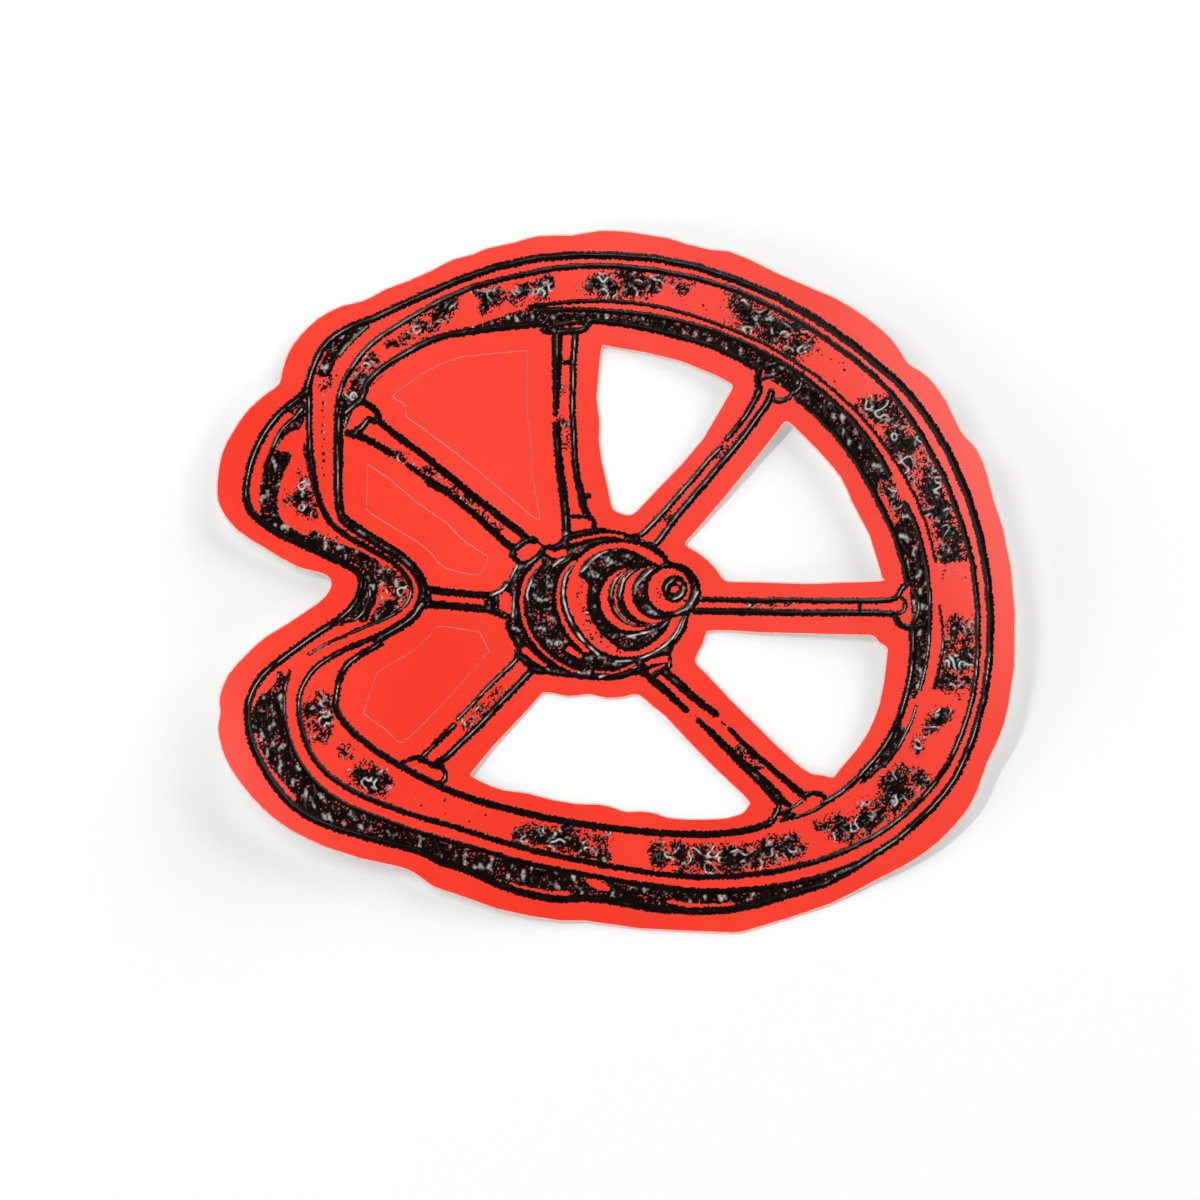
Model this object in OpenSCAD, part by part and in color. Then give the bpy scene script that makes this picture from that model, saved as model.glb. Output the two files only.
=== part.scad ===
// Die-cut vinyl sticker, curling off the table on both sides.
// A red face film sits on a paper release liner; four windows are cut clean through both,
// three more islands are kiss cut in the film only. A raised black ink drawing of a bent
// spoked wheel sits on the film. Millimetres, +Z is the printed side.

/* [Sheet] */
// Overall width of the cut sheet, left edge to right edge
sheet_width = 100; // [60:1:200]
// Overall height of the cut sheet, bottom edge to top edge
sheet_height = 88; // [52:1:180]
// Red margin left between the drawing and the outer cut edge
border_width = 3.1; // [2.4:0.1:4]
// Red margin left between the drawing and the windows and kiss cuts
window_margin = 2.5; // [1.8:0.1:3.4]
// Thickness of the red face film
film_thickness = 0.2; // [0.1:0.02:0.5]
// Thickness of the paper release liner
liner_thickness = 0.2; // [0.1:0.02:0.5]

/* [Curl] */
// Width of the strip in the middle that lies flat on the table
flat_width = 16; // [8:1:40]
// Shift of the flat strip from the middle of the sheet, along the curl
flat_shift = -5; // [-15:1:15]
// Bend radius of the part left of the flat strip
curl_radius_left = 120; // [90:5:400]
// Bend radius of the part right of the flat strip
curl_radius_right = 120; // [90:5:400]
// Direction the curl runs in, counted from +X
curl_direction = 24.6; // [0:0.2:45]

/* [Print] */
// Height of the raised ink over the film
ink_thickness = 0.2; // [0.1:0.02:0.4]
// Swell of every inked line and field, per side
ink_gain = 0; // [-0.1:0.02:0.15]

/* [Cuts] */
// Width of the kiss cut round the islands that stay in place
kerf_width = 0.16; // [0.1:0.02:0.4]

/* [Hidden] */
$fn = 32;

// a curve takes up to this many pieces between two of its points, one for each curve_angle
curve_steps = 4;
curve_angle = 8;
// margins at which the cut lines below are drawn
drawn_border = 3.1;
drawn_margin = 2.5;
// smallest sliver of ink, film or liner that is kept, the gap between neighbouring inks, and
// the hair taken off each shape so that no two of its pieces meet at a point
smallest = 0.04;
ink_gap = 0.01;
hair = 0.002;

// ---- curves ----
function blend(a, b, c, d, t) = 0.5 * (2 * b + (c - a) * t + (2 * a - 5 * b + 4 * c - d) * t * t
  + (3 * b - a - 3 * c + d) * t * t * t);
function clamp1(v) = max(-1, min(1, v));
function turn(a, b, c) = norm(b - a) * norm(c - b) < 0.001 ? 0
  : acos(clamp1((b - a) * (c - b) / (norm(b - a) * norm(c - b))));
function steps(a, b, c, d) = max(1, min(curve_steps,
  ceil((turn(a, b, c) + turn(b, c, d)) / 2 / curve_angle)));
function piece(a, b, c, d) = let (n = steps(a, b, c, d)) [for (k = [0 : n - 1]) blend(a, b, c, d, k / n)];
function round_curve(p) = let (n = len(p)) [for (i = [0 : n - 1])
  each piece(p[(i + n - 1) % n], p[i], p[(i + 1) % n], p[(i + 2) % n])];
function run_curve(p) = let (n = len(p)) concat([for (i = [0 : n - 2])
  each piece(p[max(i - 1, 0)], p[i], p[i + 1], p[min(i + 2, n - 1)])], [p[n - 1]]);
function unit(v) = v / max(norm(v), 0.001);
function across(v) = [-v[1], v[0]];
function run_side(c, a, b, s) = let (n = len(c)) [for (i = [0 : n - 1])
  c[i] + s * (a + (b - a) * i / (n - 1)) / 2 * across(unit(c[min(i + 1, n - 1)] - c[max(i - 1, 0)]))];
function round_side(c, w, s) = let (n = len(c)) [for (i = [0 : n - 1])
  c[i] + s * w / 2 * across(unit(c[(i + 1) % n] - c[(i + n - 1) % n]))];
function backward(l) = [for (i = [len(l) - 1 : -1 : 0]) l[i]];

module line(p, a, b) {
  c = run_curve(p);
  e = is_undef(b) ? a : b;
  polygon(concat(run_side(c, a, e, 1), backward(run_side(c, a, e, -1))));
  if (a > 0.3) translate(p[0]) circle(d = a, $fn = 8);
  if (e > 0.3) translate(p[len(p) - 1]) circle(d = e, $fn = 8);
}
module loop(p, w) {
  c = round_curve(p);
  difference() {
    polygon(round_side(c, w, 1));
    polygon(round_side(c, w, -1));
  }
}
module patch(p) polygon(round_curve(p));
module oval(x, y, rx, ry, a = 0) translate([x, y]) rotate(a) scale([rx, ry]) circle(r = 1, $fn = 28);

// ---- cut outline of the sheet ----
die_line = [[-2, 44.4], [2, 44.2], [6.4, 43.5], [9, 42.7], [11.8, 42], [14.1, 41.8], [17.1, 40.6],
  [20.1, 39.1], [24, 37.4], [27.5, 35.9], [31.5, 33.4], [34.6, 30.7], [35.9, 28.8], [36.7, 27.6],
  [39, 26.1], [41.3, 23.1], [43.2, 19.2], [45.2, 16.9], [46.5, 13.8], [47.3, 10.6], [48.5, 7],
  [49.5, 2], [50, -3.8], [49.9, -10.4], [49.2, -15.1], [48.2, -18.8], [46.5, -22.4], [45.4, -25.6],
  [43.9, -28.5], [40.3, -32.5], [35.9, -35.5], [32, -37.5], [30, -38.6], [26.8, -40.2],
  [21.5, -42], [16.8, -43.4], [14.4, -43.8], [9, -43.6], [3, -43.3], [-2, -42.6], [-3.9, -42.3],
  [-7, -42.3], [-11, -41.7], [-15, -40.8], [-20, -39], [-22.9, -38], [-25.3, -36.3], [-27.4, -35.5],
  [-32, -34.5], [-36.3, -33.1], [-41, -30.8], [-44.3, -28.2], [-47, -25.1], [-49, -21.8],
  [-49.9, -18.3], [-49.6, -16.1], [-49.7, -14.2], [-48.6, -11.3], [-46.6, -9], [-44, -6.6],
  [-40.6, -4.5], [-37.5, -2.4], [-36, -0.8], [-35.8, 0.4], [-36.8, 1.2], [-40, 2.1], [-44, 4.4],
  [-47.6, 6.8], [-49.7, 9.8], [-50, 12.6], [-49.4, 16.4], [-48.1, 19], [-46.3, 21.7], [-44, 23.8],
  [-42.3, 25.1], [-41.8, 27], [-41, 29.2], [-39.6, 31.2], [-37.3, 33.4], [-34.2, 35], [-31.6, 35.6],
  [-28.8, 37.1], [-26, 38.1], [-22.9, 39.5], [-20.4, 40.8], [-18, 41.4], [-16.1, 42.2],
  [-12.8, 42.9], [-10, 43.7], [-8, 43.8], [-5.5, 43.8]];
die_points = round_curve(die_line);
die_x = [for (p = die_points) p[0]];
die_y = [for (p = die_points) p[1]];
drawn_min = [min(die_x), min(die_y)];
drawn_max = [max(die_x), max(die_y)];
fit_x = (sheet_width - 2 * (border_width - drawn_border)) / (drawn_max[0] - drawn_min[0]);
fit_y = (sheet_height - 2 * (border_width - drawn_border)) / (drawn_max[1] - drawn_min[1]);
module placed() scale([fit_x, fit_y]) translate(-(drawn_min + drawn_max) / 2) children();

// ---- rim ----
rim_outer = [[0, 41.15], [5, 40.75], [10, 39.75], [15, 38.1], [20, 36], [25, 33.2], [30, 29.7],
  [35, 25.5], [38.5, 21.4], [41.6, 16.4], [44, 11], [45.5, 6], [46.4, 1], [46.85, -4],
  [46.7, -9], [46, -14.3], [44.7, -19], [42.4, -24.3], [39.3, -28.2], [35, -32.1], [30, -35.4],
  [26, -37.6], [22, -38.8], [18, -40], [14, -40.85], [10, -41], [6, -40.8], [2.5, -40.3],
  [-1, -39.6], [-4, -39.35], [-6.5, -39.5], [-9.5, -39.2], [-12, -38.6], [-15, -37.5], [-18, -36.1],
  [-20, -35.4], [-22, -34.8], [-24.2, -33.6], [-26, -33], [-29, -32.3], [-32, -31.5],
  [-35, -30.6], [-38, -29.4], [-40.5, -27.7], [-42.7, -25.2], [-44.4, -22.4], [-45.5, -20],
  [-46, -17.5], [-46, -15], [-45.1, -12.7], [-43.5, -10.7], [-41, -8.8], [-38, -6.6], [-35.2, -4.8],
  [-33.2, -3.1], [-32.1, -1.2], [-31.9, 0.6], [-32.7, 1.8], [-34.5, 2.8], [-38, 4.4], [-41.5, 6],
  [-44, 7.5], [-45.7, 9.2], [-46.3, 11.2], [-46, 13.8], [-45.3, 16.2], [-44.1, 18.7], [-42.5, 20.9],
  [-41, 22.3], [-39.4, 23.5], [-38.6, 24.8], [-38.1, 26.5], [-37.3, 28.5], [-36.3, 30], [-35, 31.2],
  [-33, 32.3], [-30.5, 33.2], [-28, 34.4], [-24, 36.2], [-20, 37.95], [-15, 39.7], [-10, 40.8],
  [-5, 41.2]];
rim_second = [[0, 39.8], [5, 39.3], [10, 38.3], [15, 36.8], [20, 34.5], [25, 31.6], [30, 28],
  [34.5, 23.8], [38, 18.9], [41, 13.5], [43.3, 7.3], [44.6, 2.5], [45.2, -3], [45.2, -9],
  [44.6, -14], [43.2, -18.7], [41.3, -22.8], [38.3, -26.8], [34, -30.5], [30, -32.8], [25, -34.8],
  [20, -36], [15, -36.6], [10, -36.75], [5, -36.3], [0, -35.5], [-5, -34.55], [-10, -33.5],
  [-15, -32.1], [-20, -30.5], [-26, -28.75], [-31, -26.9], [-34.5, -25], [-37, -22.9],
  [-38.6, -20.3], [-39.5, -17.3], [-39.6, -14], [-38.3, -11.3], [-36.6, -9.7], [-33.5, -8],
  [-30, -6.6], [-27, -4.9], [-25.2, -3.3], [-24.4, -1], [-25, 1], [-27, 3.1], [-30.5, 5.3],
  [-33.5, 7.2], [-34.7, 9], [-35, 13], [-35, 18], [-34.9, 22], [-34.3, 24.8], [-33, 27.2],
  [-31.4, 29.3], [-29.3, 31.1], [-26, 33.2], [-22, 35.5], [-18, 37.2], [-13, 38.5], [-8, 39.5],
  [-4, 39.85]];
module rim_lines_2d() {
  loop(rim_outer, 1);
  loop(rim_second, 0.75);
  // bent tip at the left: the second line is drawn heavier there
  line([[-30, -7.2], [-27, -5.5], [-24.9, -3.8], [-24, -1.2], [-24.4, 0.8], [-26.7, 3.4],
    [-30.3, 5.7], [-33.2, 7.6], [-34.5, 9.2], [-34.8, 13], [-34.7, 18], [-34.7, 21]], 0.9, 1.2);
  // third line, between face and inner wall
  line([[-10.8, 34.8], [-8, 35.1], [-5, 35.4], [-2, 35.5], [2, 35.25], [6, 34.6], [10, 33.5],
    [14, 32.1], [18, 30.4], [21, 28.7], [25, 26.1], [27.5, 24], [30, 21.7], [32, 19.4], [34, 16.8],
    [36, 13.6], [37.5, 10.7], [38.6, 8], [39.5, 4.9], [39.9, 2.8]], 0.55, 0.35);
  line([[40.4, -2.6], [40.7, -4.5], [40.9, -6.5], [40.7, -9], [40.3, -11], [39.8, -13]], 0.3, 0.5);
  // inner edge of the rim, hub side
  line([[-33.8, 21.5], [-32.5, 22.6], [-31.6, 23.7], [-31.1, 25.2], [-29.8, 26.6], [-28, 27.9],
    [-25, 29.7], [-22, 30.9], [-18.5, 31.8]], 0.9, 0.9);
  line([[-20, 31.3], [-15, 32.1], [-9.3, 32.6]], 0.9);
  line([[-3, 33], [0, 32.7], [4, 32], [8, 31], [12, 29.8], [15, 28.4], [17.6, 27]], 0.8);
  line([[22.6, 23.3], [25, 21.3], [27.5, 18.7], [30, 15.4], [31.8, 12.3], [33.4, 9.2], [34.9, 6],
    [35.9, 2.8], [36.4, 0.3]], 0.8, 0.9);
  line([[37.1, -5.8], [37.15, -8], [36.9, -11], [36.4, -13.5], [35.6, -16.3], [34.3, -19.1],
    [32.6, -21.6], [30.3, -24.2], [28, -26.2], [25.9, -27.5]], 1, 0.8);
  line([[19.4, -29.9], [17.5, -30.6], [14, -31.2], [11, -31.4], [7, -31.3], [3, -31], [-1, -30.55],
    [-5, -30], [-9, -29.25], [-13, -28.3], [-17, -27.25], [-21, -25.85], [-24, -24.4], [-27, -22.8],
    [-30, -20.9], [-32.3, -19.1], [-34, -17.4], [-35, -15.6], [-34.9, -13.4], [-34.4, -11.4],
    [-33.4, -9.9], [-31.6, -8.6], [-29.5, -7.5]], 0.9, 0.9);
  // upper edge of the inner wall
  line([[-10, 34.3], [-7, 34.4], [-3.5, 34.3], [0, 34.1], [4, 33.7], [8, 32.9], [12, 31.8],
    [16, 30.2], [20, 28.2], [23, 26.3], [26, 23.9], [29, 21.2], [31, 18.9], [32.8, 16.3],
    [34.2, 13.7]], 0.7);
  line([[36.1, 10.2], [37.2, 8.2], [38.1, 5.5], [38.8, 2.4], [39.2, -1], [39.3, -4], [39.1, -7.5],
    [38.7, -10.5], [38, -13.2]], 0.6, 0.5);
  line([[37.5, -15.3], [37, -17], [36.4, -18.3], [35.2, -20.6], [33.5, -22.7]], 0.3, 0.6);
  // dark outer wall, bottom and left: its inner edge
  line([[30, -35.1], [26, -36.6], [22, -37.6], [18, -38.2], [14, -38.5], [10, -38.5], [6, -38],
    [2, -37.5], [-2, -36.75], [-6, -36], [-10, -35.25], [-14, -34.2], [-18, -33], [-22, -31.9],
    [-26, -30.7], [-30, -29.2], [-33.5, -27.8], [-36.2, -26.1], [-38.3, -24.1], [-39.9, -21.7],
    [-41, -19], [-41.5, -16], [-41.4, -13], [-40.8, -10.9]], 0.8, 0.5);
  // crease beside the bent tip
  line([[-38.4, 24.4], [-38.4, 20], [-38.3, 17], [-37.9, 14], [-37.3, 11], [-36.4, 8.8],
    [-35, 7], [-32.5, 5.3], [-29.5, 3.7], [-27.2, 2.1], [-25.9, 0.4], [-25.7, -1.3], [-26.6, -2.9],
    [-28.8, -4.3], [-31, -5.2]], 0.9, 0.5);
  line([[-31, -5.2], [-34, -6.5], [-36.5, -7.6], [-38.6, -8.9]], 0.55, 0.25);
  // small inner strokes of the two left bulges
  line([[-31.1, 32.3], [-32.6, 30.9], [-33.8, 29.7], [-34.6, 28.6]], 0.5);
  line([[-39.3, 21.9], [-40.3, 20.7], [-41.5, 19.7], [-42.5, 18.1], [-43.2, 16.4], [-43.9, 14.7]], 0.6);
  line([[-34.4, -4.9], [-32.8, -4.5], [-31.7, -3.6], [-30.9, -2.2], [-30.8, -0.5]], 0.5);
}

// dark walls of the rim and shadow in the bulges
module wall_fields() {
  patch([[-20, 31.4], [-15, 33.3], [-11, 34.6], [-7, 34.3], [0, 34.2], [6, 33.3], [12, 31.9],
    [18, 29.3], [24, 25.6], [29, 21.2], [32, 17.4], [34.5, 13.2], [33, 12.9], [32.4, 11.4],
    [30.3, 14.4], [27.6, 18.3], [24, 22], [20.5, 24.8], [16.5, 27.2], [12, 29.5], [6, 31.3],
    [0, 32.5], [-7, 32.6], [-14, 32]]);
  patch([[36.1, 10.3], [37.6, 7.6], [38.6, 4], [39.1, 0], [39.3, -4], [39, -8], [38.4, -12],
    [37.7, -13.8], [36.9, -14.4], [36.6, -12], [37, -7], [36.9, -3], [36.6, 0.5], [35.8, 4],
    [34.8, 7.2], [35.3, 8]]);
  patch([[37.3, -15.6], [36.8, -17.6], [35.6, -20], [33.6, -22.7], [31, -25], [30.6, -24.4],
    [33, -21.6], [35, -18.2], [35.6, -17.6], [36.4, -18]]);
  patch([[29, -35.5], [24, -37.2], [18, -38.2], [12, -38.5], [6, -38], [0, -37], [-6, -35.8],
    [-12, -34.6], [-18, -32.8], [-24, -31.1], [-30, -29.2], [-34, -27.5], [-37.5, -25],
    [-39.8, -21.8], [-41.1, -18.6], [-41.5, -15], [-41.3, -12], [-42.2, -10.9], [-44.3, -13.6],
    [-45.7, -16.4], [-45.4, -19.4], [-44, -22.8], [-41.8, -25.8], [-38, -29.2], [-32, -31.2],
    [-25, -33.1], [-20.4, -35], [-15, -37.2], [-8.5, -39.1], [-4, -39.2], [2, -40], [8, -40.8],
    [14, -40.7], [20, -39.3], [26, -37.4]]);
  patch([[-42.4, 16.9], [-41, 18.8], [-39.4, 19.6], [-38.8, 21.6], [-39.2, 23.4], [-41.2, 21.8],
    [-40, 20.8], [-41.6, 19.2], [-43.6, 15.8], [-44.6, 12], [-44.6, 9.4], [-44.9, 8.2], [-42, 6.4],
    [-37, 4], [-34, 3], [-32.3, 2.2], [-31.6, 0.5], [-31.8, -1.8], [-33.6, -3.7], [-31.5, -4.9],
    [-30.6, -3.4], [-29.7, -1.2], [-30.2, 1.2], [-29.4, 2.6], [-32, 4.2], [-35, 5.2], [-38.4, 6],
    [-40.8, 7.2], [-42.1, 8.6], [-42.2, 11.4], [-41.5, 14], [-40.6, 15.8], [-41, 16.6]]);
  patch([[-31.2, 32.5], [-33.6, 31.8], [-35.6, 30.3], [-37, 27.6], [-37.3, 26.2], [-36.2, 25.9],
    [-35.4, 27], [-34.6, 28.6], [-33, 30.6]]);
  patch([[-39.2, 17.4], [-38.7, 14.6], [-38.1, 12], [-37, 9.2], [-36.2, 8], [-36.6, 10.6],
    [-37.6, 14], [-38, 17.4]]);
  patch([[-27.2, -2.3], [-28.3, -1.9], [-29.6, -2.6], [-31, -4.9], [-28.6, -4.2]]);
}
// red left bare inside the dark walls
module bare_slits() {
  line([[-45.1, -18.9], [-44.9, -20.4], [-43.9, -22.5], [-42.2, -25], [-40.5, -26.9]], 0.4, 0.9);
  line([[-16.4, -36.7], [-13.8, -37.6], [-11, -38.3], [-8.3, -38.8], [-6, -38.8]], 0.45, 0.6);
  line([[6.6, -39.8], [8.5, -40.15], [11.5, -40.3], [14.6, -40.1]], 0.4, 0.35);
  oval(-43.4, -12.4, 1.5, 0.55, 55);
  oval(-2.3, -37.7, 1.6, 0.5, -22);
  line([[-43.9, 17.2], [-44.5, 15], [-45, 12.4], [-45.1, 10], [-44.4, 8.6]], 0.5, 0.3);
}
// speckled grime on the face of the rim and the bulges
module grime_fields() {
  patch([[-26.4, 32.4], [-24.8, 34], [-22.3, 35.2], [-19.8, 35.8], [-19, 34.6], [-20.4, 33.4],
    [-22, 31.9], [-24.6, 31.2]]);
  patch([[-34.2, 21.8], [-34.3, 23.8], [-33.4, 26], [-31.9, 28.2], [-30.6, 28.9], [-29.6, 27.6],
    [-30.8, 26.6], [-31.6, 25], [-32.3, 23.6], [-33.3, 22.3]]);
  patch([[-28.8, 30], [-27.4, 31.2], [-25.8, 31.8], [-25.4, 30.8], [-27.2, 29.6]]);
  patch([[-18.2, 37], [-14.8, 38], [-13.8, 36.9], [-10.8, 37.6], [-8.2, 38.6], [-7.8, 37.2],
    [-9, 35.8], [-11, 35], [-14, 34.8], [-16.8, 33.9], [-17.2, 35.6]]);
  patch([[-4.6, 36.4], [-3.8, 38], [-2.2, 39], [0.4, 39.3], [3.4, 38.9], [5.9, 38.4], [5.6, 36.9],
    [4.2, 35.7], [1, 35.8], [-2.6, 36]]);
  patch([[6.4, 38], [8.4, 38.3], [9.8, 37.6], [9, 36.6], [7.4, 36.2]]);
  patch([[13.4, 36.2], [15.6, 36.6], [18, 35.3], [20.3, 34], [23, 32.6], [25.2, 30.8], [25.4, 29.2],
    [23.4, 28], [21.8, 28.6], [18.6, 30.4], [15.6, 31.8], [13.4, 32.8], [13.9, 34.4]]);
  patch([[30.2, 22.9], [32.4, 23.5], [34.5, 23.6], [36.4, 20.6], [38.6, 17], [40.6, 13.2],
    [42.3, 9], [43.7, 5], [43.9, 3], [41.8, 2.4], [40.2, 2.6], [39.6, 5.6], [38.2, 9.4],
    [36.4, 13.4], [34.2, 17], [32.2, 19.8], [30.6, 21.4]]);
  patch([[33.1, 12.3], [34.5, 12.4], [35, 11], [35.4, 9.3], [34.9, 7.9], [34.2, 9.2], [33.4, 10.8]]);
  patch([[41, -5], [42.8, -4], [44.9, -5.2], [45, -9], [44.7, -12.6], [43, -14.2], [41, -13.8],
    [39.9, -12.4], [40.4, -9.8], [40.9, -7]]);
  patch([[42.2, -15.9], [40.8, -17.4], [39.6, -18.8], [38.4, -20.2], [37.4, -21.1], [37.1, -19.8],
    [38.2, -18], [39, -16.3], [40.8, -15.7]]);
  patch([[35, -22.7], [36.6, -22.9], [38.8, -23.6], [39.3, -24.8], [38, -26.3], [36.4, -27.9],
    [34.8, -28.4], [33.6, -29.8], [31.8, -31.2], [29.6, -32.4], [27.4, -32.4], [26.2, -31.2],
    [24.8, -30], [26.6, -28.7], [28.8, -28.9], [30.2, -28.4], [29.8, -27.4], [32, -26.2],
    [33, -24.4]]);
  patch([[4.2, -32.4], [6.8, -32.4], [10, -32.7], [14, -32.8], [17.6, -32.2], [21.4, -31.2],
    [23, -31.6], [23.6, -33.8], [22.4, -35.4], [18.6, -36], [14, -36.3], [9, -36.2], [5.6, -35.7],
    [4.4, -34.6]]);
  patch([[-13, -31.2], [-11.2, -29.9], [-8.6, -29.9], [-5.6, -30.4], [-2.6, -30.9], [0, -31.5],
    [-1, -32.6], [-0.9, -34.4], [-2.4, -34.8], [-6.4, -33.9], [-10.4, -32.9], [-12.2, -32.4]]);
  patch([[-33.8, -24.4], [-32.2, -22.8], [-30.6, -22], [-29, -23], [-28.2, -25], [-28.9, -26.8],
    [-31, -26.4], [-32.8, -25.4]]);
  patch([[-34.9, -20.2], [-33.7, -20.3], [-33.2, -21.4], [-34, -22], [-34.9, -21.3]]);
  patch([[-39, -15], [-37.8, -14.3], [-36.9, -13.4], [-35.4, -14.2], [-35.3, -16.8], [-35.5, -19],
    [-37, -19.9], [-38.4, -19.6], [-39.1, -17.6]]);
  patch([[-30, 1.6], [-28.4, 2.2], [-26.8, 1], [-26.2, -0.8], [-27, -2.2], [-28.6, -1.8],
    [-29.6, -2.4], [-29.9, 0]]);
  patch([[-39.7, 14.6], [-38.7, 12.8], [-37.6, 9.9], [-37.8, 8.3], [-40.2, 8.8], [-41.6, 10.2],
    [-41.2, 11.4], [-40, 12]]);
  patch([[-38.8, 5.9], [-37.4, 6.7], [-35.4, 5.9], [-35.2, 4.9], [-37.4, 5.1]]);
  patch([[-36.9, 26.2], [-35.6, 26.4], [-35.8, 25], [-36.6, 24.2], [-37.2, 25]]);
  // spokes: grime between the two lines
  patch([[-7, 24.6], [-6.3, 25], [-6.6, 23.6], [-7.2, 23.2]]);
  patch([[-7.4, 20.4], [-5.8, 20.2], [-5.8, 17.6], [-7, 17.4]]);
  patch([[14.7, 18.2], [15.9, 18.4], [15, 16.9], [13.3, 15.1], [12.5, 15.9], [13.8, 17.1]]);
  patch([[6.2, 8.5], [7.3, 9.6], [8.2, 9.3], [7, 7.9]]);
  patch([[16.4, -2.3], [18, -2.5], [18.9, -2.4], [21.4, -2.4], [22.2, -2.5], [21.8, -3],
    [19.2, -2.9], [16.6, -3.1]]);
  patch([[14.3, -19.9], [15.8, -20.2], [17.9, -22.3], [18.3, -23.2], [17, -23], [15.3, -21.4]]);
  patch([[-14.2, -13.6], [-15.4, -12.9], [-17.6, -15.4], [-19.2, -17], [-19.4, -18.2], [-18, -18],
    [-16, -15.7], [-14.6, -14.6]]);
  patch([[-28.4, 16.1], [-26.6, 15.9], [-25, 14.9], [-24.6, 14.3], [-25.8, 14.6], [-27.4, 15.5]]);
  patch([[-17.2, 9.4], [-15.6, 8.1], [-14, 6.7], [-14.5, 6.2], [-16.2, 7.5], [-17.7, 8.9]]);
  patch([[-24.4, 14.6], [-23.4, 13.6], [-21.8, 12.5], [-19.9, 11.3], [-18.6, 10.2], [-17.4, 9.6],
    [-18, 10.7], [-19.6, 12], [-21.8, 13.6], [-23.4, 14.8]]);
}

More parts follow.
